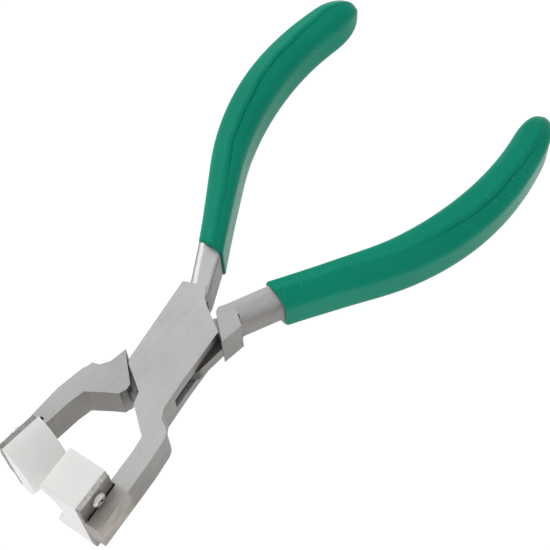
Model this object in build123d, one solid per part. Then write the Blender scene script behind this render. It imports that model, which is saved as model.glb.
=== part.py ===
"""Nylon-jaw forming pliers with a box joint.

Frame: Z runs along the pivot pin, the origin is where the pin's axis meets the underside of the joint,
-Y points to the jaws and +Y to the handles.

Each forged member is drawn in the pose where the two jaw plates are parallel. The outer member has its jaw
at +X and its handle at -X, and the inner member is the other way round. Both are then turned about the
pin by PARALLEL_TO_REST, which is the half-open pose in which the tool lies at rest.
"""
import os
from math import cos, radians, sin

from build123d import *

# Joint, in millimetres
JOINT_THICKNESS = 11.0
SLOT_HEIGHT = 4.2
SLOT_DROP = 0.25
SLIDE_GAP = 0.06
CHEEK_REACH = 10.9
CHEEK_END_ANGLE = 35.3
SHOULDER_GAP = 0.15
SLOT_JAW_REACH = 11.6
SLOT_HANDLE_REACH = 13.4
SLOT_ANGLE = 38.5
PIN_RADIUS = 2.5
PIN_CLEARANCE = 0.04

# Pose, in degrees for each member
PARALLEL_TO_REST = 5.25
PARALLEL_TO_CLOSED = -0.2

# Jaw arms
ARM_INNER_X = 7.3
ARM_OUTER_X = 11.9
ARM_STEP_Y = -33.7
ARM_END_Y = -44.2
LEFT_ARM_NARROWING = 1.9
GROOVE_WIDTH = 0.35
ARM_TAPER_Y = -30.0
ARM_END_THICKNESS = 9.8
GROOVE_DEPTH = 3.0
GROOVE_TIP_PAD = 0.7
RUN_OUT_X = 8.9
RUN_OUT_WIDTH = 1.0
RUN_OUT_LENGTH = 1.5
RUN_OUT_DEPTH = 2.5

# Jaw plates and nylon blocks
PLATE_FACE_X = 7.2
PLATE_THICKNESS = 1.2
PLATE_TOP_Y = -34.1
JAW_HALF_HEIGHT = 12.1
CONCAVE_THICKNESS = 9.6
HOLLOW_DEPTH = 3.8
NYLON_OVERHANG = 0.5
HOLLOW_HALF_HEIGHT = 9.0
CROWN_EDGE_THICKNESS = 2.3
CROWNED_JAW_INSET = 0.5
CROWN_THICKNESS = 6.5
CROWN_SHOULDER_ROUND = 4.0

# Jaw screws
SCREW_HEIGHT = 8.9
SCREW_HEAD_RADIUS = 1.9
SCREW_HEAD_HEIGHT = 1.3
SCREW_RADIUS = 1.1
SCREW_LENGTH = 3.4
CROWNED_SCREW_LENGTH = 2.1
RECESS_WIDTH = 0.5
RECESS_LENGTH = 2.1
RECESS_DEPTH = 0.8

# Handles: a straight run, one long arc and a short straight end
HANDLE_START = (7.8, 27.0)
HANDLE_ANGLE = 26.5
HANDLE_STRAIGHT = 23.5
HANDLE_ARC_RADIUS = 73.0
HANDLE_ARC_ANGLE = 45.0
HANDLE_END = 7.4
TANG_THICKNESS = 10.4
TANG_SHORT = 7.0
TANG_ROUND = 1.2
COAT = 1.0
GRIP_START_WIDTH = 8.1
GRIP_BULGE_WIDTH = 10.7
GRIP_END_WIDTH = 8.8
GRIP_THICKNESS = 14.4
GRIP_ROUND = 2.4
GRIP_MOUTHS = {"left": ((5.0, 26.4), 2.0), "right": ((7.0, 26.1), -9.6)}
LEAD_IN = 6.0
NECKING = {"left": 1.6, "right": 0.0}
NECKING_LENGTH = 75.0

HANDLE_ARC_LENGTH = radians(HANDLE_ARC_ANGLE) * HANDLE_ARC_RADIUS
HANDLE_LENGTH = HANDLE_STRAIGHT + HANDLE_ARC_LENGTH + HANDLE_END


def handle_frame(distance):
    """Point and unit direction of the right handle's centreline at a distance from the grip's start."""
    start = Vector(*HANDLE_START)
    first = Vector(sin(radians(HANDLE_ANGLE)), cos(radians(HANDLE_ANGLE)))
    if distance <= HANDLE_STRAIGHT:
        return start + first * distance, first
    turned = min((distance - HANDLE_STRAIGHT) / HANDLE_ARC_RADIUS, radians(HANDLE_ARC_ANGLE))
    heading = radians(HANDLE_ANGLE) - turned
    sideways = HANDLE_ARC_RADIUS * (cos(heading) - cos(radians(HANDLE_ANGLE)))
    forward = HANDLE_ARC_RADIUS * (sin(radians(HANDLE_ANGLE)) - sin(heading))
    direction = Vector(sin(heading), cos(heading))
    point = start + first * HANDLE_STRAIGHT + Vector(sideways, forward)
    past_arc = max(distance - HANDLE_STRAIGHT - HANDLE_ARC_LENGTH, 0)
    return point + direction * past_arc, direction


def grip_half_width(distance):
    """Half the grip's width, growing to the bulge and easing to the end."""
    bulge_at = 0.55 * HANDLE_LENGTH
    if distance < bulge_at:
        rise = sin(radians(90) * distance / bulge_at) ** 2
        return (GRIP_START_WIDTH + (GRIP_BULGE_WIDTH - GRIP_START_WIDTH) * rise) / 2
    fall = sin(radians(90) * (distance - bulge_at) / (HANDLE_LENGTH - bulge_at)) ** 2
    return (GRIP_BULGE_WIDTH + (GRIP_END_WIDTH - GRIP_BULGE_WIDTH) * fall) / 2


def handle_side(first, last, inset, side, necking=0, count=9):
    """Points along one side of the handle; side is +1 outside and -1 inside, necking draws it in near the joint."""
    points = []
    for step in range(count):
        distance = first + (last - first) * step / (count - 1)
        point, direction = handle_frame(distance)
        outward = Vector(direction.Y, -direction.X)
        drawn_in = inset + necking * max(1 - distance / NECKING_LENGTH, 0)
        points.append(point + outward * side * (grip_half_width(distance) - drawn_in))
    return points


def handle_face(first, last, inset, necking):
    """Plan outline of a handle, drawn at the right, between two distances, with a round end."""
    outer = handle_side(first, last, inset, 1)
    inner = handle_side(first, last, inset, -1, necking)
    end, direction = handle_frame(last)
    crown = end + direction * (grip_half_width(last) - inset)
    sides = [Spline(*outer), ThreePointArc(outer[-1], crown, inner[-1]), Spline(*inner[::-1])]
    return make_face(sides + [Line(inner[0], outer[0])])


def slab(face, thickness):
    """A plan face extruded evenly about the middle plane."""
    return extrude(face, amount=thickness / 2, both=True)


def outline(*points):
    return make_face(Polyline(*points, close=True))


def upright_edges(solid, limit):
    """The vertical edges on the jaw side of a plan line y = limit."""
    return solid.edges().filter_by(Axis.Z).filter_by(lambda edge: edge.center().Y < limit)


def jaw_arm(flank_x, waist_y, inset=0, narrowing=0):
    """Right jaw arm and neck: out from the joint's flank over a small bump, then down to the web's end."""
    step = 1.2
    seat_x = PLATE_FACE_X + PLATE_THICKNESS - inset
    body = outline(
        (flank_x - 6, -7.5),
        (flank_x - 0.4, -7.5),
        (flank_x, waist_y + 2.3),
        (flank_x + 1.2, waist_y),
        (flank_x + 2.9, waist_y - 0.9),
        (ARM_OUTER_X - 0.9, waist_y - 1.9),
        (ARM_OUTER_X - 0.4, waist_y - 3.4),
        (ARM_OUTER_X, -25),
        (ARM_OUTER_X + 0.3 - narrowing, ARM_END_Y),
        (seat_x, ARM_END_Y),
        (seat_x, ARM_STEP_Y),
        (ARM_INNER_X, ARM_STEP_Y),
        (ARM_INNER_X, -25.5),
        (ARM_INNER_X - 0.4, -21.6),
        (0.7, -16.3),
        (0.2, -14.5),
    )
    arm = slab(body, JOINT_THICKNESS)
    arm = fillet(upright_edges(arm, waist_y + 1).sort_by(Axis.X)[-5:-3], step)
    arm &= arm_taper()
    groove_length = ARM_STEP_Y - ARM_END_Y - GROOVE_TIP_PAD
    for side in (-1, 1):
        groove = Pos(
            seat_x + GROOVE_WIDTH / 2,
            ARM_STEP_Y - groove_length / 2,
            side * (JOINT_THICKNESS - GROOVE_DEPTH) / 2,
        ) * Box(GROOVE_WIDTH, groove_length, GROOVE_DEPTH)
        arm -= groove
    return arm


def groove_run_outs():
    """Where the left arm's plate grooves run out past the plate on both faces, drawn at +X."""
    cut = Box(RUN_OUT_WIDTH, RUN_OUT_LENGTH, RUN_OUT_DEPTH)
    place = Pos(RUN_OUT_X, ARM_STEP_Y + RUN_OUT_LENGTH / 2, (JOINT_THICKNESS - RUN_OUT_DEPTH) / 2)
    upper = place * cut
    return upper + mirror(upper, Plane.XY)


def arm_taper():
    """Side profile that thins the arms evenly towards the jaw tips."""
    half = JOINT_THICKNESS / 2
    end_half = ARM_END_THICKNESS / 2
    profile = Plane.YZ * outline(
        (0, -half), (ARM_TAPER_Y, -half), (ARM_END_Y, -end_half), (ARM_END_Y, end_half), (ARM_TAPER_Y, half), (0, half)
    )
    return extrude(profile, amount=40)


def tang(side):
    """A handle's steel core, drawn at the right; it ends square, TANG_SHORT before the grip does."""
    last = HANDLE_LENGTH - GRIP_END_WIDTH / 2 - COAT
    core = slab(handle_face(-LEAD_IN, last, COAT, NECKING[side]), TANG_THICKNESS)
    rim = core.edges().filter_by(lambda edge: abs(abs(edge.center().Z) - TANG_THICKNESS / 2) < 0.01)
    end, direction = handle_frame(HANDLE_LENGTH - TANG_SHORT)
    before_end = Plane(origin=end, z_dir=direction).location * Pos(0, 0, -100) * Box(200, 200, 200)
    return fillet(rim, TANG_ROUND) & beyond_mouth(side) & before_end


def beyond_mouth(side):
    """Everything on the handle side of the flat plane in which a grip's mouth lies, drawn at the right."""
    middle, angle = GRIP_MOUTHS[side]
    return Pos(*middle, 0) * Rot(0, 0, angle) * Pos(0, 100, 0) * Box(200, 200, 60)


def grip(side):
    """A handle's dipped grip, drawn at the right and hollow where the tang is."""
    last = HANDLE_LENGTH - GRIP_END_WIDTH / 2
    shell = slab(handle_face(-LEAD_IN, last, 0, NECKING[side]), GRIP_THICKNESS)
    rim = shell.edges().filter_by(lambda edge: abs(abs(edge.center().Z) - GRIP_THICKNESS / 2) < 0.01)
    rim = rim.filter_by(lambda edge: edge.length > 12)
    return (fillet(rim, GRIP_ROUND) & beyond_mouth(side)) - tang(side)


def mirrored(shape):
    return mirror(shape, Plane.YZ)


def cheek_end(side):
    """Where a cheek's end line touches the circle CHEEK_REACH; side is -1 at the jaws, +1 at the handles."""
    angle = radians(90 - CHEEK_END_ANGLE)
    return Vector(cos(angle), sin(angle)) * CHEEK_REACH * side


def cheeks():
    """The joint block of the outer member, from its jaw end to its handle end."""
    jaw_foot = cheek_end(-1)
    handle_foot = cheek_end(1)
    body = outline(
        (handle_foot.X, handle_foot.Y),
        (6.6, -6.0),
        (7.0, -13.7),
        (2.0, -16.0),
        (0.7, -16.3),
        (-0.2, -13.2),
        (jaw_foot.X, jaw_foot.Y),
        (-7.0, -7.8),
        (-8.5, 15.3),
        (-3.2, 17.4),
        (-1.6, 14.5),
        (0.4, 12.8),
    )
    return slab(body, JOINT_THICKNESS)


def long_edges(solid, height):
    """The long edges of a neck that lie at a height, from the inner one to the outer one."""
    level = solid.edges().filter_by(lambda edge: edge.length > 9 and abs(edge.center().Z - height) < 0.01)
    return level.sort_by(lambda edge: abs(edge.center().X))


def shank(thickness, top_round, bottom_round, inner_round, *points):
    """A forged neck, well rounded along its outer edges and barely along its inner ones."""
    neck = slab(outline(*points), thickness)
    top = thickness / 2
    neck = fillet(long_edges(neck, top)[-1], top_round)
    neck = fillet(long_edges(neck, -top)[-1], bottom_round)
    return fillet([long_edges(neck, top)[0], long_edges(neck, -top)[0]], inner_round)


def left_shank():
    """The outer member's neck between the joint block and the tang, drawn at -X."""
    points = ((-5.7, 13.0), (-1.5, 13.2), (-2.1, 17.4), (-5.9, 27.6), (-12.0, 26.4))
    return shank(TANG_THICKNESS, 2.0, 2.0, 0.8, *points)


def joint_slot():
    """The slot between the cheeks, cut straight through towards the inner member's arms."""
    cut = Box(80, SLOT_JAW_REACH + SLOT_HANDLE_REACH, SLOT_HEIGHT)
    shift = (SLOT_HANDLE_REACH - SLOT_JAW_REACH) / 2
    return Pos(0, 0, -SLOT_DROP) * Rot(0, 0, SLOT_ANGLE) * Pos(0, shift, 0) * cut


def outer_member():
    body = cheeks() - joint_slot()
    body += jaw_arm(7.0, -15.9) - joint_slot()
    body += left_shank() - joint_slot() + mirrored(tang("left"))
    body -= Cylinder(PIN_RADIUS, 2 * JOINT_THICKNESS)
    return body


def shoulder_cut():
    """Everything the cheeks sweep: a disc, and the wedge beyond each cheek's end line."""
    height = 2 * JOINT_THICKNESS
    reach = CHEEK_REACH + SHOULDER_GAP
    swept = Cylinder(reach, height)
    turn = 90 - CHEEK_END_ANGLE - 2 * PARALLEL_TO_CLOSED
    for side in (0, 180):
        wedge = Pos(reach / 2, 10, 0) * Box(reach, 20, height)
        swept += Rot(0, 0, turn + side) * wedge
    return swept


def jaw_shoulder():
    """The inner member's full-thickness root on the jaw side, drawn at +X and then mirrored."""
    body = outline((0.5, -13.0), (0.6, -16.4), (6.8, -21.2), (8.4, -15.0), (8.1, -13.1), (7.8, -7.4), (6.0, -7.4))
    return slab(body, JOINT_THICKNESS)


def handle_block():
    """The inner member's square block on the handle side."""
    body = outline((-0.1, 14.4), (0.8, 12.0), (6.8, 7.2), (7.0, 8.6), (7.3, 14.7), (3.4, 16.9), (1.2, 17.2))
    return slab(body, JOINT_THICKNESS)


def right_shank():
    """The inner member's neck between the block and the tang, flush with the block's top."""
    points = ((0.0, 14.4), (5.6, 12.2), (10.9, 26.2), (5.8, 28.6), (4.3, 26.2))
    return shank(JOINT_THICKNESS, 4.6, 4.6, 0.3, *points)


def heel():
    """The short swept foot that blends the block's outer edge into the neck at the neck's widest height."""
    corner = (7.3, 14.7)
    toe = (7.5, 17.2)
    sides = [ThreePointArc(corner, (7.2, 15.7), toe), Polyline(toe, (6.0, 17.0), (6.0, 14.8), corner)]
    upper = extrude(make_face(sides), amount=1.6, taper=22)
    return Pos(0, 0, -0.9) * (upper + mirror(upper, Plane.XY))


def crevice():
    """The narrow parting groove between the block's end and the rounded part of the neck."""
    return Pos(5.25, 16.05, JOINT_THICKNESS / 2) * Rot(0, 0, -29.4) * Box(1.8, 0.3, 3.0)


def tongue():
    """The flat tongue that turns between the cheeks."""
    body = outline(
        (6.9, 10.0),
        (7.0, 0.6),
        (5.2, -2.8),
        (-0.5, -13.9),
        (-0.6, -15.5),
        (-7.0, -15.0),
        (-7.0, -0.6),
        (-5.2, 2.8),
        (0.5, 13.9),
        (3.0, 15.5),
    )
    return Pos(0, 0, -SLOT_DROP) * slab(body, SLOT_HEIGHT - 2 * SLIDE_GAP)


def inner_member():
    arm = jaw_arm(8.1, -14.6, CROWNED_JAW_INSET, LEFT_ARM_NARROWING) - groove_run_outs()
    solid = mirrored(arm) + mirrored(jaw_shoulder())
    solid += handle_block() + right_shank() + heel() + tang("right")
    solid -= shoulder_cut()
    solid -= crevice()
    solid += tongue()
    solid -= Cylinder(PIN_RADIUS + PIN_CLEARANCE, 2 * JOINT_THICKNESS)
    return solid


def pivot_pin():
    return Cylinder(PIN_RADIUS, JOINT_THICKNESS)


def jaw_box(first_x, last_x, overhang):
    """A block as tall as the jaws between two x positions; overhang lengthens it towards the joint."""
    length = PLATE_TOP_Y + overhang - ARM_END_Y
    width = last_x - first_x
    middle = Pos(first_x + width / 2, ARM_END_Y + length / 2, 0)
    return middle * Box(width, length, 2 * JAW_HALF_HEIGHT)


def jaw_middle_y():
    return (PLATE_TOP_Y + ARM_END_Y) / 2


def screw_axis(side):
    """Where a right-jaw screw crosses the plate's outer face, pointing from the nylon to the head."""
    return Pos(PLATE_FACE_X + PLATE_THICKNESS, jaw_middle_y(), side * SCREW_HEIGHT) * Rot(0, 90, 0)


def jaw_screw(side, length):
    """A pan-head screw with a cross recess, on the right jaw."""
    head = Pos(0, 0, SCREW_HEAD_HEIGHT / 2) * Cylinder(SCREW_HEAD_RADIUS, SCREW_HEAD_HEIGHT)
    head = fillet(head.edges().group_by(Axis.Z)[-1], 0.75)
    shaft_length = PLATE_THICKNESS + length
    shaft = Pos(0, 0, -shaft_length / 2) * Cylinder(SCREW_RADIUS, shaft_length)
    screw = head + shaft
    for turn in (45, 135):
        arm = Pos(0, 0, SCREW_HEAD_HEIGHT) * Rot(0, 0, turn)
        screw -= arm * Box(RECESS_LENGTH, RECESS_WIDTH, 2 * RECESS_DEPTH)
    return screw_axis(side) * screw


def screw_holes(length):
    """The two holes that the screws fill in a plate and its nylon block."""
    depth = PLATE_THICKNESS + length
    hole = Pos(0, 0, -depth / 2) * Cylinder(SCREW_RADIUS, depth)
    return screw_axis(1) * hole + screw_axis(-1) * hole


def jaw_plate(length):
    plate = jaw_box(PLATE_FACE_X, PLATE_FACE_X + PLATE_THICKNESS, 0)
    plate = fillet(plate.edges().filter_by(Axis.X), 0.6)
    return plate - screw_holes(length)


def concave_block():
    """Nylon block with a part-cylinder hollow that runs along Y."""
    block = jaw_box(PLATE_FACE_X - CONCAVE_THICKNESS, PLATE_FACE_X, NYLON_OVERHANG)
    block = fillet(block.edges().filter_by(Axis.X), 0.8)
    radius = (HOLLOW_HALF_HEIGHT**2 + HOLLOW_DEPTH**2) / (2 * HOLLOW_DEPTH)
    centre_x = PLATE_FACE_X - CONCAVE_THICKNESS + HOLLOW_DEPTH - radius
    hollow = Pos(centre_x, jaw_middle_y(), 0) * Rot(90, 0, 0) * Cylinder(radius, 20)
    return block - hollow - screw_holes(SCREW_LENGTH)


def crowned_block():
    """Nylon block with a crown that matches the hollow, drawn on the right jaw."""
    block = jaw_box(PLATE_FACE_X - CROWN_THICKNESS, PLATE_FACE_X, NYLON_OVERHANG)
    rise = CROWN_THICKNESS - CROWN_EDGE_THICKNESS
    radius = (JAW_HALF_HEIGHT**2 + rise**2) / (2 * rise)
    centre_x = PLATE_FACE_X - CROWN_THICKNESS + radius
    crown = Pos(centre_x, jaw_middle_y(), 0) * Rot(90, 0, 0) * Cylinder(radius, 20)
    block &= crown
    creases = block.edges().filter_by(Axis.Y).filter_by(lambda edge: edge.center().X < PLATE_FACE_X - 1)
    return fillet(creases, CROWN_SHOULDER_ROUND) - screw_holes(CROWNED_SCREW_LENGTH)


def at_rest(shape, turn):
    """Turn a piece about the pin and lift it so that the joint's underside is at Z = 0."""
    return Pos(0, 0, JOINT_THICKNESS / 2) * Rot(0, 0, turn) * shape


def outer_parts():
    parts = {
        "outer_member": outer_member(),
        "pivot_pin": pivot_pin(),
        "concave_jaw_plate": jaw_plate(SCREW_LENGTH),
        "concave_nylon_jaw": concave_block(),
        "left_grip": mirrored(grip("left")) - left_shank(),
    }
    for name, side in (("upper", 1), ("lower", -1)):
        parts["concave_jaw_screw_" + name] = jaw_screw(side, SCREW_LENGTH)
    return parts


def inner_parts():
    inset = Pos(CROWNED_JAW_INSET, 0, 0)
    parts = {
        "inner_member": inner_member(),
        "convex_jaw_plate": inset * mirrored(jaw_plate(CROWNED_SCREW_LENGTH)),
        "convex_nylon_jaw": inset * mirrored(crowned_block()),
        "right_grip": grip("right") - right_shank(),
    }
    for name, side in (("upper", 1), ("lower", -1)):
        parts["convex_jaw_screw_" + name] = inset * mirrored(jaw_screw(side, CROWNED_SCREW_LENGTH))
    return parts


def write_parts():
    os.makedirs("parts", exist_ok=True)
    for parts, turn in ((outer_parts(), PARALLEL_TO_REST), (inner_parts(), -PARALLEL_TO_REST)):
        for name, shape in parts.items():
            export_step(at_rest(shape, turn), "parts/" + name + ".step")


write_parts()
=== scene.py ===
"""The pliers as they look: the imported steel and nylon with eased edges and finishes, and dipped grips."""
from math import cos, pi, radians, sin, sqrt, tan

import bpy
from mathutils import Matrix, Vector


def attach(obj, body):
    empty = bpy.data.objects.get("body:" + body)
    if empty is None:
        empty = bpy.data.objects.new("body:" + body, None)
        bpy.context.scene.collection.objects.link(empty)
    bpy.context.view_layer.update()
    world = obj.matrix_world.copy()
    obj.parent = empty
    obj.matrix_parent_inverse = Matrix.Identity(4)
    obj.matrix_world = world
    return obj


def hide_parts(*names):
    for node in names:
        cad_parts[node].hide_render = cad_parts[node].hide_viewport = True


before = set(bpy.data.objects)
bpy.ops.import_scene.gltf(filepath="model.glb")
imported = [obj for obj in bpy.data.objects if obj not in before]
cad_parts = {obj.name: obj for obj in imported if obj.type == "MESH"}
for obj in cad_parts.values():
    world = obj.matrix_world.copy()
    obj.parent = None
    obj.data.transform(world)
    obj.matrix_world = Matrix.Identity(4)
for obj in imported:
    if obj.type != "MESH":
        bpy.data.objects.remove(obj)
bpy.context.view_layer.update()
MM = 0.001
PARALLEL_TO_REST = radians(5.25)
scene = bpy.context.scene
scene.view_settings.view_transform = "Standard"

# ---------------------------------------------------------------- camera
CAMERA_AZIMUTH = 43.1146
CAMERA_ELEVATION = 61.0310
CAMERA_ROLL = -4.5474
CAMERA_AT = Vector((0.10875, -0.080227, 0.2816056))
CAMERA_LENS = 85.69
CAMERA_SENSOR = 36
CAMERA_CLIP_START = 0.01


def add_camera():
    """A camera set by its azimuth and elevation about the pliers, then rolled."""
    azimuth = radians(CAMERA_AZIMUTH)
    elevation = radians(CAMERA_ELEVATION)
    roll = radians(CAMERA_ROLL)
    back = Vector((sin(azimuth) * cos(elevation), -cos(azimuth) * cos(elevation), sin(elevation)))
    level = Vector((cos(azimuth), sin(azimuth), 0))
    tall = back.cross(level)
    right = level * cos(roll) + tall * sin(roll)
    up = tall * cos(roll) - level * sin(roll)
    data = bpy.data.cameras.new("camera")
    data.lens = CAMERA_LENS
    data.sensor_width = CAMERA_SENSOR
    data.clip_start = CAMERA_CLIP_START
    camera = bpy.data.objects.new("camera", data)
    camera.matrix_world = Matrix.Translation(CAMERA_AT) @ Matrix((right, up, back)).transposed().to_4x4()
    scene.collection.objects.link(camera)
    scene.camera = camera


# ---------------------------------------------------------------- node helpers
# Which sockets of a mix node belong to colours.
MIX_FACTOR = 0
MIX_A = 6
MIX_B = 7
MIX_RESULT = 2
NOISE_ROUGHNESS = 0.55


class Nodes:
    """A short way to write a material's node tree."""

    def __init__(self, name):
        self.material = bpy.data.materials.new(name)
        self.material.use_nodes = True
        self.tree = self.material.node_tree
        self.shader = self.tree.nodes["Principled BSDF"]

    def set(self, **values):
        """Set inputs of the shader that are uniform over the surface."""
        for key, value in values.items():
            self.shader.inputs[key.replace("_", " ")].default_value = value

    def add(self, kind, inputs=None, **settings):
        """A new node, its inputs given as values or as other nodes' outputs."""
        node = self.tree.nodes.new(kind)
        for key, value in settings.items():
            setattr(node, key, value)
        for key, value in (inputs or {}).items():
            if isinstance(value, bpy.types.NodeSocket):
                self.tree.links.new(value, node.inputs[key])
            else:
                node.inputs[key].default_value = value
        return node

    def link(self, output, name):
        self.tree.links.new(output, self.shader.inputs[name])

    def place(self, scale):
        """Object coordinates stretched by scale."""
        where = self.add("ShaderNodeTexCoord").outputs["Object"]
        return self.add("ShaderNodeMapping", {"Vector": where, "Scale": scale}).outputs["Vector"]

    def noise(self, scale, detail, stretch=(1, 1, 1)):
        inputs = {"Vector": self.place(stretch), "Scale": scale, "Detail": detail}
        inputs["Roughness"] = NOISE_ROUGHNESS
        return self.add("ShaderNodeTexNoise", inputs).outputs["Fac"]

    def remap(self, value, low, high, to_low=0.0, to_high=1.0):
        inputs = {"Value": value, "From Min": low, "From Max": high, "To Min": to_low, "To Max": to_high}
        return self.add("ShaderNodeMapRange", inputs).outputs["Result"]

    def math(self, operation, a, b=0.0):
        return self.add("ShaderNodeMath", {0: a, 1: b}, operation=operation).outputs[0]

    def product(self, a, b):
        return self.math("MULTIPLY", a, b)

    def mix(self, factor, a, b):
        """Colour a where factor is 0 and b where it is 1."""
        inputs = {MIX_FACTOR: factor, MIX_A: a, MIX_B: b}
        return self.add("ShaderNodeMix", inputs, data_type="RGBA").outputs[MIX_RESULT]

    def bump(self, height, strength, distance, before=None):
        """A normal raised by height on top of the normal before."""
        inputs = {"Height": height, "Strength": strength, "Distance": distance}
        if before is not None:
            inputs["Normal"] = before
        return self.add("ShaderNodeBump", inputs).outputs["Normal"]

    def object_axes(self):
        """The X and Y of a point on the piece."""
        where = self.add("ShaderNodeTexCoord").outputs["Object"]
        parts = self.add("ShaderNodeSeparateXYZ", {"Vector": where}).outputs
        return parts["X"], parts["Y"]


def grey(value, warmth):
    """A grey that leans to brown by warmth."""
    return (value * (1 + warmth), value, value * (1 - warmth), 1)


# ---------------------------------------------------------------- materials
# Where the tongue leaves the joint, which ends the painted shadow inside it, and where the milled web beside
# a jaw plate begins and is full.
JOINT_SHADOW_RADIUS = 0.0112
JOINT_SHADOW_SOFTNESS = 0.0003
JAW_SEAT_BEGINS = -0.0331
JAW_SEAT_FULL = -0.0340
# How far the bumps rise, in metres.
SCRATCH_BUMP = 0.00003
PIT_BUMP = 0.00005
SAW_BUMP = 0.00004
CUTTER_BUMP = 0.00004
GRAIN_BUMP = 0.00002
PEEL_BUMP = 0.00003
WAVE_BUMP = 0.0003


def upward(nodes):
    """1 on faces that look up or down, 0 on side walls."""
    normal = nodes.add("ShaderNodeNewGeometry").outputs["Normal"]
    lift = nodes.add("ShaderNodeSeparateXYZ", {"Vector": normal}).outputs["Z"]
    return nodes.remap(nodes.math("ABSOLUTE", lift), 0.55, 0.9)


def jaw_seat(nodes):
    """1 on the milled web beside the jaw plates, 0 on the rest of the arms."""
    across, along = nodes.object_axes()
    lean = nodes.product(nodes.math("ABSOLUTE", across), -sin(PARALLEL_TO_REST))
    along = nodes.math("ADD", nodes.product(along, cos(PARALLEL_TO_REST)), lean)
    return nodes.remap(along, JAW_SEAT_BEGINS, JAW_SEAT_FULL)


def joint_shadow_mask(nodes, flat):
    """1 on the tongue's flats, and on its walls on the jaw side, where they run between the cheeks: where the
    painted shadow of the joint goes.
    """
    across, along = nodes.object_axes()
    squares = nodes.math("ADD", nodes.product(across, across), nodes.product(along, along))
    rim = JOINT_SHADOW_RADIUS + JOINT_SHADOW_SOFTNESS / 3
    near = nodes.remap(nodes.math("SQRT", squares), rim, rim - JOINT_SHADOW_SOFTNESS)
    near = nodes.product(near, nodes.remap(across, 0.0, 0.0008))
    jaw_side = nodes.remap(along, 0.0015, 0.0)
    return nodes.product(near, nodes.math("MAXIMUM", flat, jaw_side))


def steel_material(name, dark_flat, light_flat, painted_joint_shade=False):
    """Ground tool steel: fine long scratches on the flats, side walls painted darker as painted shade, soft
    cloudy patches.

    The flats run from dark_flat to light_flat; the last flag paints the tongue inside the joint near-black, a
    painted shadow for the shade between the cheeks.
    """
    nodes = Nodes(name)
    flat = upward(nodes)
    scratches = nodes.noise(900.0, 4.0, (1.0, 0.06, 0.3))
    cross = nodes.noise(700.0, 3.0, (0.08, 1.0, 1.0))
    clouds = nodes.noise(55.0, 4.0)
    specks = nodes.noise(1500.0, 2.0)
    flat_tone = nodes.mix(nodes.remap(clouds, 0.35, 0.7), grey(dark_flat, 0.004), grey(light_flat, 0.010))
    # painted shade: the side walls get a darker tone than the flats
    shaded_wall_tone = nodes.mix(nodes.remap(clouds, 0.3, 0.7), grey(0.225, 0.05), grey(0.30, 0.035))
    tone = nodes.mix(flat, shaded_wall_tone, flat_tone)
    blotch = nodes.remap(nodes.noise(240.0, 4.0), 0.35, 0.65, 0.35, 1.0)
    tone = nodes.mix(nodes.product(jaw_seat(nodes), blotch), tone, grey(0.40, 0.11))
    tone = nodes.mix(nodes.remap(scratches, 0.35, 0.7, 0.0, 0.14), tone, grey(0.30, 0.03))
    tone = nodes.mix(nodes.remap(specks, 0.66, 0.75, 0.0, 0.25), tone, grey(0.16, 0.06))
    if painted_joint_shade:
        # painted shadow: the tongue between the cheeks is painted near-black
        tone = nodes.mix(joint_shadow_mask(nodes, flat), tone, grey(0.095, 0.05))
    nodes.link(tone, "Base Color")
    scratched = nodes.remap(scratches, 0.3, 0.7, 0.40, 0.52)
    rougher_walls = nodes.remap(flat, 0.0, 1.0, 0.08, 0.0)
    nodes.link(nodes.math("ADD", scratched, rougher_walls), "Roughness")
    fine = nodes.bump(scratches, 0.22, SCRATCH_BUMP)
    fine = nodes.bump(cross, 0.10, SCRATCH_BUMP, fine)
    nodes.link(fine, "Normal")
    nodes.set(Metallic=1.0)
    return nodes.material


def plate_material(name, depth):
    """Sawn and milled plate, browner and rougher than the forgings, its walls painted darker as painted
    shade; its top is painted darker as painted shade when the second argument is below 1.
    """
    nodes = Nodes(name)
    flat = upward(nodes)
    saw = nodes.noise(800.0, 4.0, (0.15, 1.0, 0.2))
    pits = nodes.noise(1100.0, 5.0)
    blotch = nodes.remap(nodes.noise(260.0, 4.0), 0.35, 0.65)
    top = nodes.mix(blotch, grey(0.36 * depth, 0.06), grey(0.52 * depth, 0.035))
    # painted shade: the walls get a darker tone than the top
    wall = nodes.mix(blotch, grey(0.22, 0.08), grey(0.31, 0.06))
    tone = nodes.mix(flat, wall, top)
    tone = nodes.mix(nodes.remap(pits, 0.55, 0.7, 0.0, 0.5), tone, grey(0.13, 0.10))
    nodes.link(tone, "Base Color")
    nodes.link(nodes.remap(pits, 0.3, 0.7, 0.42, 0.60), "Roughness")
    nodes.link(nodes.bump(pits, 0.35, PIT_BUMP, nodes.bump(saw, 0.25, SAW_BUMP)), "Normal")
    nodes.set(Metallic=1.0)
    return nodes.material


def screw_material():
    """Bright plating with worn, darker patches."""
    nodes = Nodes("plated_screw")
    wear = nodes.noise(900.0, 4.0)
    nodes.link(nodes.mix(nodes.remap(wear, 0.45, 0.7), grey(0.66, 0.01), grey(0.36, 0.03)), "Base Color")
    nodes.link(nodes.remap(wear, 0.3, 0.7, 0.14, 0.30), "Roughness")
    nodes.link(nodes.bump(wear, 0.2, SCRATCH_BUMP), "Normal")
    nodes.set(Metallic=1.0)
    return nodes.material


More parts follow.
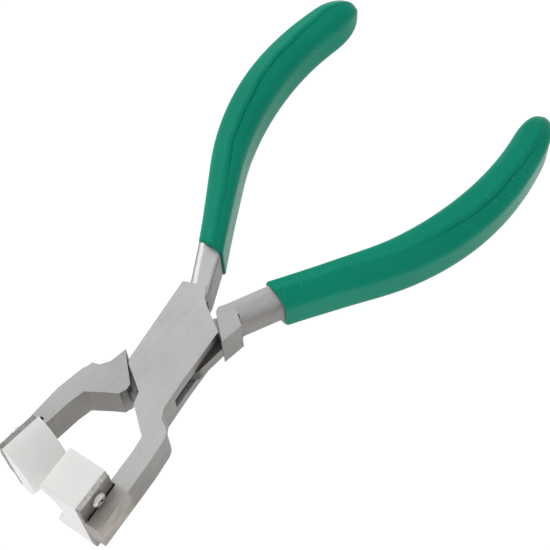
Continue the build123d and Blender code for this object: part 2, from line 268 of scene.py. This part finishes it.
def nylon_material():
    """Off-white cast nylon, slightly waxy, with faint cutter marks."""
    nodes = Nodes("nylon")
    mottle = nodes.noise(120.0, 3.0)
    marks = nodes.noise(500.0, 3.0, (1.0, 0.05, 1.0))
    grain = nodes.noise(2200.0, 2.0)
    white = nodes.mix(nodes.remap(mottle, 0.3, 0.7), (0.80, 0.805, 0.79, 1), (0.85, 0.855, 0.84, 1))
    nodes.link(white, "Base Color")
    nodes.link(nodes.remap(marks, 0.3, 0.7, 0.38, 0.52), "Roughness")
    nodes.link(nodes.bump(marks, 0.12, CUTTER_BUMP, nodes.bump(grain, 0.06, GRAIN_BUMP)), "Normal")
    nodes.set(Subsurface_Weight=0.25, Subsurface_Scale=0.002, Specular_IOR_Level=0.45)
    nodes.shader.inputs["Subsurface Radius"].default_value = (1.0, 0.9, 0.8)
    return nodes.material


def grip_material():
    """Dipped vinyl: deep green with slow waves from dipping, a faint orange peel and a few dust specks."""
    nodes = Nodes("dipped_vinyl")
    waves = nodes.noise(38.0, 2.0, (1.0, 0.5, 1.0))
    tint = nodes.noise(26.0, 3.0)
    peel = nodes.noise(420.0, 2.0)
    dust = nodes.noise(1300.0, 1.0)
    green = nodes.mix(nodes.remap(tint, 0.3, 0.7), (0.004, 0.205, 0.132, 1), (0.006, 0.245, 0.158, 1))
    green = nodes.mix(nodes.remap(dust, 0.75, 0.775, 0.0, 0.5), green, (0.12, 0.40, 0.32, 1))
    nodes.link(green, "Base Color")
    nodes.link(nodes.remap(peel, 0.3, 0.7, 0.20, 0.29), "Roughness")
    nodes.link(nodes.bump(peel, 0.02, PEEL_BUMP, nodes.bump(waves, 0.35, WAVE_BUMP)), "Normal")
    nodes.set(Specular_IOR_Level=0.035)
    return nodes.material


STEEL = {
    "outer_member": steel_material("ground_steel", 0.50, 0.58),
    # the inner member's material carries the painted shadow inside the joint
    "inner_member": steel_material("ground_steel_shaded_joint", 0.44, 0.51, painted_joint_shade=True),
}
# painted shade: the convex plate's top tone is scaled down to 0.62 of the concave plate's
PLATES = {"concave": plate_material("plate_steel", 1.0), "convex": plate_material("plate_steel_shaded_top", 0.62)}
SCREW = screw_material()
NYLON = nylon_material()
VINYL = grip_material()


# ---------------------------------------------------------------- carried-over steel and nylon
WELD_DISTANCE = 0.000002
EASED_ABOVE = radians(28)
MEMBER_EDGE = 0.00022
PLATE_EDGE = 0.00012
NYLON_EDGE = 0.0004
SCREW_EDGE = 0.00007


def finish_node(name, material, edge, segments=2):
    """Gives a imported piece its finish, and eases its edges."""
    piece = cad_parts[name]
    piece.data.materials.clear()
    piece.data.materials.append(material)
    weld = piece.modifiers.new("weld", "WELD")
    weld.merge_threshold = WELD_DISTANCE
    if edge > 0:
        bevel = piece.modifiers.new("eased edges", "BEVEL")
        bevel.width = edge
        bevel.segments = segments
        bevel.limit_method = "ANGLE"
        bevel.angle_limit = EASED_ABOVE
        bevel.harden_normals = False
    normals = piece.modifiers.new("normals", "WEIGHTED_NORMAL")
    normals.keep_sharp = True


def finish_nodes():
    for name, material in STEEL.items():
        finish_node(name, material, MEMBER_EDGE)
    finish_node("pivot_pin", STEEL["outer_member"], 0)
    for side in ("concave", "convex"):
        finish_node(side + "_jaw_plate", PLATES[side], PLATE_EDGE)
        finish_node(side + "_nylon_jaw", NYLON, NYLON_EDGE, segments=3)
        for end in ("upper", "lower"):
            finish_node(side + "_jaw_screw_" + end, SCREW, SCREW_EDGE)


# ---------------------------------------------------------------- dipped grips
# The handles' centreline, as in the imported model: a straight run, one long arc and a short straight end,
# drawn in millimetres for the right handle in the pose where the jaws are parallel.
MIDDLE_Z = 5.5
HANDLE_START = (7.8, 27.0)
HANDLE_ANGLE = radians(26.5)
HANDLE_STRAIGHT = 23.5
HANDLE_ARC_RADIUS = 73.0
HANDLE_ARC_ANGLE = radians(45.0)
HANDLE_END = 7.4
HANDLE_ARC_LENGTH = HANDLE_ARC_ANGLE * HANDLE_ARC_RADIUS
HANDLE_LENGTH = HANDLE_STRAIGHT + HANDLE_ARC_LENGTH + HANDLE_END
GRIP_START_WIDTH = 8.1
GRIP_BULGE_WIDTH = 10.7
GRIP_END_WIDTH = 8.8
GRIP_BULGE_AT = 0.55 * HANDLE_LENGTH
GRIP_HALF_HEIGHT = 7.2
GRIP_MOUTHS = {"left": (5.0, 26.4, radians(2.0)), "right": (7.0, 26.1, radians(-9.6))}
NECKING = {"left": 1.6, "right": 0.0}
NECKING_LENGTH = 75.0
# The section: a low ridge along the top, outer edges that drop further than the inner ones, rounded corners.
SHOULDER_DROP = 1.35
OUTER_DROP = 0.5
RIDGE_DRIFT = 1.5
RIDGE_ROUND = 1.4
OUTER_ROUND = 2.7
INNER_ROUND_AT_MOUTH = 1.8
INNER_ROUND_GAIN = 1.4
# The dipping crease beside the ridge: where it starts and ends as a fraction of the handle's length, how far
# from the ridge its near edge, floor and far edge lie, and how deep and how sharp it is.
CREASE_START = {"left": 0.06, "right": 0.40}
CREASE_END = 0.94
CREASE_EDGES = (0.7, 1.05, 1.4)
CREASE_LEAST_DEPTH = 0.04
CREASE_DEPTH = 0.36
CREASE_EDGE_ROUND = 0.15
CREASE_FLOOR_ROUND = 0.12
LIP_ROUND = 0.6
LIP_COAT_SIDE = 0.95
LIP_COAT_TOP = 1.6
LIP_INSIDE = 2.5
LIP_STEPS = 6
MOUTH_SLANT_FADES = 14
BODY_STEPS = 110
CAP_LENGTH = 11.0
CAP_SHORT = 0.4
CAP_POWER = 2.2
CAP_STEPS = 16
CORNER_STEPS = 6
SIDE_STEPS = 5


def handle_frame(distance):
    """Point and unit direction of the right handle's centreline at a distance from its start."""
    heading = HANDLE_ANGLE
    x = HANDLE_START[0] + sin(heading) * min(distance, HANDLE_STRAIGHT)
    y = HANDLE_START[1] + cos(heading) * min(distance, HANDLE_STRAIGHT)
    if distance > HANDLE_STRAIGHT:
        turned = min((distance - HANDLE_STRAIGHT) / HANDLE_ARC_RADIUS, HANDLE_ARC_ANGLE)
        heading = HANDLE_ANGLE - turned
        x += HANDLE_ARC_RADIUS * (cos(heading) - cos(HANDLE_ANGLE))
        y += HANDLE_ARC_RADIUS * (sin(HANDLE_ANGLE) - sin(heading))
        past_arc = max(distance - HANDLE_STRAIGHT - HANDLE_ARC_LENGTH, 0)
        x += sin(heading) * past_arc
        y += cos(heading) * past_arc
    return (x, y), (sin(heading), cos(heading))


def grip_half_width(distance):
    """Half the grip's width, which swells from the mouth to the bulge and narrows to the tip."""
    if distance < GRIP_BULGE_AT:
        rise = sin(pi / 2 * distance / GRIP_BULGE_AT) ** 2
        return (GRIP_START_WIDTH + (GRIP_BULGE_WIDTH - GRIP_START_WIDTH) * rise) / 2
    fall = sin(pi / 2 * (distance - GRIP_BULGE_AT) / (HANDLE_LENGTH - GRIP_BULGE_AT)) ** 2
    return (GRIP_BULGE_WIDTH + (GRIP_END_WIDTH - GRIP_BULGE_WIDTH) * fall) / 2


def rotated(point, angle):
    """A plan point turned about the origin."""
    return Vector((point.x * cos(angle) - point.y * sin(angle), point.x * sin(angle) + point.y * cos(angle)))


def rounded_corner(before, here, after, radius):
    """Points along the arc that rounds one corner."""
    into = (before - here).normalized()
    out = (after - here).normalized()
    half = into.angle(out) / 2
    cut = radius / tan(half)
    centre = here + (into + out).normalized() * (radius / sin(half))
    first = here + into * cut - centre
    sweep = first.angle_signed(here + out * cut - centre)
    return [centre + rotated(first, -sweep * step / CORNER_STEPS) for step in range(CORNER_STEPS + 1)]


def rounded_polygon(corners):
    """Points round a closed polygon of (x, y, radius) corners; their number doesn't depend on its size."""
    places = [Vector(corner[:2]) for corner in corners]
    following = places[1:] + places[:1]
    arcs = []
    for index, corner in enumerate(corners):
        arcs.append(rounded_corner(places[index - 1], places[index], following[index], corner[2]))
    found = []
    for arc, next_arc in zip(arcs, arcs[1:] + arcs[:1]):
        found += arc
        found += [arc[-1].lerp(next_arc[0], step / SIDE_STEPS) for step in range(1, SIDE_STEPS)]
    return found


def grip_sides(distance, side):
    """How far the grip reaches to the outside and the inside of the handle's centreline."""
    outside = grip_half_width(distance)
    return outside, outside - NECKING[side] * max(1 - distance / NECKING_LENGTH, 0)


def crease_depth(along, side):
    """How deep the crease is at a fraction of the handle's length."""
    start = CREASE_START[side]
    done = min(max(along - start, 0) / (CREASE_END - start), 1)
    return CREASE_LEAST_DEPTH + CREASE_DEPTH * sqrt(sin(pi * done))


def grip_section(outside, inside, along, side):
    """The grip's section as (across, up) points; across is + on the outside of the handle.

    The ridge wanders outwards and the inner corners fill out as along goes from 0 at the mouth to 1 at the
    tip, and the crease runs beside the ridge on top: inside it on the left, outside it on the right.
    """
    top = GRIP_HALF_HEIGHT
    shoulder = top - SHOULDER_DROP
    wander = 0.16 * sin(23 * along) + 0.10 * sin(57 * along + 1)
    ridge = 0.30 * (outside - inside) - 0.3 + RIDGE_DRIFT * along + wander
    inner_round = INNER_ROUND_AT_MOUTH + INNER_ROUND_GAIN * min(3 * along, 1)
    if side == "left":
        toward = -1
        fall = SHOULDER_DROP / (ridge + inside)
    else:
        toward = 1
        fall = (SHOULDER_DROP + OUTER_DROP) / (outside - ridge)
    depths = (0.0, crease_depth(along, side), 0.0)
    rounds = (CREASE_EDGE_ROUND, CREASE_FLOOR_ROUND, CREASE_EDGE_ROUND)
    crease = []
    for away, down, radius in zip(CREASE_EDGES, depths, rounds):
        crease.append((ridge + toward * away, top - away * fall - down, radius))
    below_ridge = [
        (outside, shoulder - OUTER_DROP, OUTER_ROUND),
        (outside, -shoulder + OUTER_DROP, OUTER_ROUND),
        (ridge, -top, RIDGE_ROUND),
        (-inside, -shoulder, inner_round),
        (-inside, shoulder, inner_round),
    ]
    on_ridge = [(ridge, top, RIDGE_ROUND)]
    if side == "left":
        return rounded_polygon(on_ridge + below_ridge + crease[::-1])
    return rounded_polygon(on_ridge + crease + below_ridge)


def mouth_shift(across, side):
    """How far along the handle the slanted mouth lies at a point across it."""
    mouth_x, mouth_y, angle = GRIP_MOUTHS[side]
    (x, y), (dx, dy) = handle_frame(0)
    x += dy * across - mouth_x
    y += -dx * across - mouth_y
    normal = (-sin(angle), cos(angle))
    return -(x * normal[0] + y * normal[1]) / (dx * normal[0] + dy * normal[1])


def grip_ring(distance, side, lip=0.0, scale=(1.0, 1.0)):
    """One closed ring of the grip in the right handle's drawing pose; lip is 1 against the steel."""
    outside, inside = grip_sides(max(distance, 0.0), side)
    middle = (outside - inside) / 2
    narrow = 1 - 2 * LIP_COAT_SIDE * lip / (outside + inside)
    low = 1 - LIP_COAT_TOP * lip / GRIP_HALF_HEIGHT
    ring = []
    for point in grip_section(outside, inside, max(distance, 0.0) / HANDLE_LENGTH, side):
        across = (middle + (point.x - middle) * narrow) * scale[0]
        rise = point.y * low * scale[1]
        slant = mouth_shift(across, side) * max(1 - distance / MOUTH_SLANT_FADES, 0)
        (x, y), (dx, dy) = handle_frame(distance + slant)
        ring.append(Vector((x + dy * across, y - dx * across, rise)))
    return ring


def grip_rings(side):
    """All rings from inside the mouth, over the rounded lip and along the handle, to the domed end."""
    rings = [grip_ring(LIP_INSIDE, side, 1.0), grip_ring(LIP_ROUND, side, 1.0)]
    for step in range(LIP_STEPS + 1):
        turn = pi / 2 * step / LIP_STEPS
        rings.append(grip_ring(LIP_ROUND * (1 - sin(turn)), side, 0.5 + 0.5 * cos(turn)))
    for step in range(1, LIP_STEPS + 1):
        turn = pi / 2 * step / LIP_STEPS
        rings.append(grip_ring(LIP_ROUND * (1 - cos(turn)), side, 0.5 * (1 - sin(turn))))
    cap_start = HANDLE_LENGTH - CAP_LENGTH
    for step in range(1, BODY_STEPS + 1):
        rings.append(grip_ring(LIP_ROUND + (cap_start - LIP_ROUND) * step / BODY_STEPS, side))
    for step in range(1, CAP_STEPS):
        along = sin(pi / 2 * step / CAP_STEPS)
        scale = (sqrt(1 - along**2), (1 - along**CAP_POWER) ** (1 / CAP_POWER))
        rings.append(grip_ring(cap_start + (CAP_LENGTH - CAP_SHORT) * along, side, 0.0, scale))
    return rings


def ring_faces(rings):
    """Quads between neighbouring rings, and a fan that closes the last ring on one point after it."""
    count = len(rings[0])
    faces = []
    for ring in range(len(rings) - 1):
        for step in range(count):
            a = ring * count + step
            b = ring * count + (step + 1) % count
            faces.append((a, b, b + count, a + count))
    last = (len(rings) - 1) * count
    tip = len(rings) * count
    for step in range(count):
        faces.append((last + step, last + (step + 1) % count, tip))
    return faces


def at_rest(point, sign):
    """A point of the right handle's drawing, moved to its place at rest; sign is -1 for the left handle."""
    plan = rotated(Vector((point.x * sign, point.y)), -sign * PARALLEL_TO_REST)
    return Vector((plan.x, plan.y, point.z + MIDDLE_Z)) * MM


def add_grip(name, side):
    """One dipped grip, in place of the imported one."""
    sign = 1 if side == "right" else -1
    rings = grip_rings(side)
    (x, y), _ = handle_frame(HANDLE_LENGTH - CAP_SHORT)
    points = [point for ring in rings for point in ring] + [Vector((x, y, 0))]
    faces = ring_faces(rings)
    if side == "right":
        faces = [face[::-1] for face in faces]
    mesh = bpy.data.meshes.new(name)
    mesh.from_pydata([at_rest(point, sign) for point in points], [], faces)
    mesh.shade_smooth()
    mesh.materials.append(VINYL)
    piece = bpy.data.objects.new(name, mesh)
    scene.collection.objects.link(piece)
    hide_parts(side + "_grip")
    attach(piece, "outer_arm" if side == "left" else "inner_arm")


# ---------------------------------------------------------------- surroundings
# The floor's (y, z) just under the jaws and just under the grips, and how far it reaches.
FLOOR_JAW_END = (-0.0335, -0.0067)
FLOOR_HANDLE_END = (0.095, -0.00175)
FLOOR_REACH = 4.0
FLOOR_GLOW = 0.96
WORLD_STRENGTH = 0.76


def add_floor():
    """A plain floor just under the jaws' lower ends and the grips; it glows, so that it stays white."""
    mesh = bpy.data.meshes.new("floor")
    slope = (FLOOR_HANDLE_END[1] - FLOOR_JAW_END[1]) / (FLOOR_HANDLE_END[0] - FLOOR_JAW_END[0])
    corners = []
    for side_x, side_y in ((-1, -1), (1, -1), (1, 1), (-1, 1)):
        y = side_y * FLOOR_REACH
        corners.append((side_x * FLOOR_REACH, y, FLOOR_JAW_END[1] + slope * (y - FLOOR_JAW_END[0])))
    mesh.from_pydata(corners, [], [(0, 1, 2, 3)])
    floor = bpy.data.objects.new("floor", mesh)
    scene.collection.objects.link(floor)
    nodes = Nodes("floor")
    nodes.set(Base_Color=(0.1, 0.1, 0.1, 1), Emission_Color=(1, 1, 1, 1), Emission_Strength=FLOOR_GLOW)
    nodes.set(Roughness=0.9, Specular_IOR_Level=0.1)
    mesh.materials.append(nodes.material)


def add_area_light(name, place, aim, size, power):
    data = bpy.data.lights.new(name, "AREA")
    data.shape = "RECTANGLE"
    data.size, data.size_y = size
    data.energy = power
    light = bpy.data.objects.new(name, data)
    facing = (Vector(aim) - Vector(place)).to_track_quat("-Z", "Y").to_matrix().to_4x4()
    light.matrix_world = Matrix.Translation(place) @ facing
    scene.collection.objects.link(light)


def add_lights():
    """An even white studio, and one large soft light low on the left."""
    world = bpy.data.worlds.new("studio")
    world.use_nodes = True
    background = world.node_tree.nodes["Background"]
    background.inputs["Color"].default_value = (1, 1, 1, 1)
    background.inputs["Strength"].default_value = WORLD_STRENGTH
    scene.world = world
    add_area_light("key", place=(-0.85, 0.1, 0.35), aim=(0, 0.02, 0), size=(1.1, 1.1), power=5.0)


add_camera()
add_floor()
add_lights()
finish_nodes()
add_grip("left_dipped_grip", "left")
add_grip("right_dipped_grip", "right")
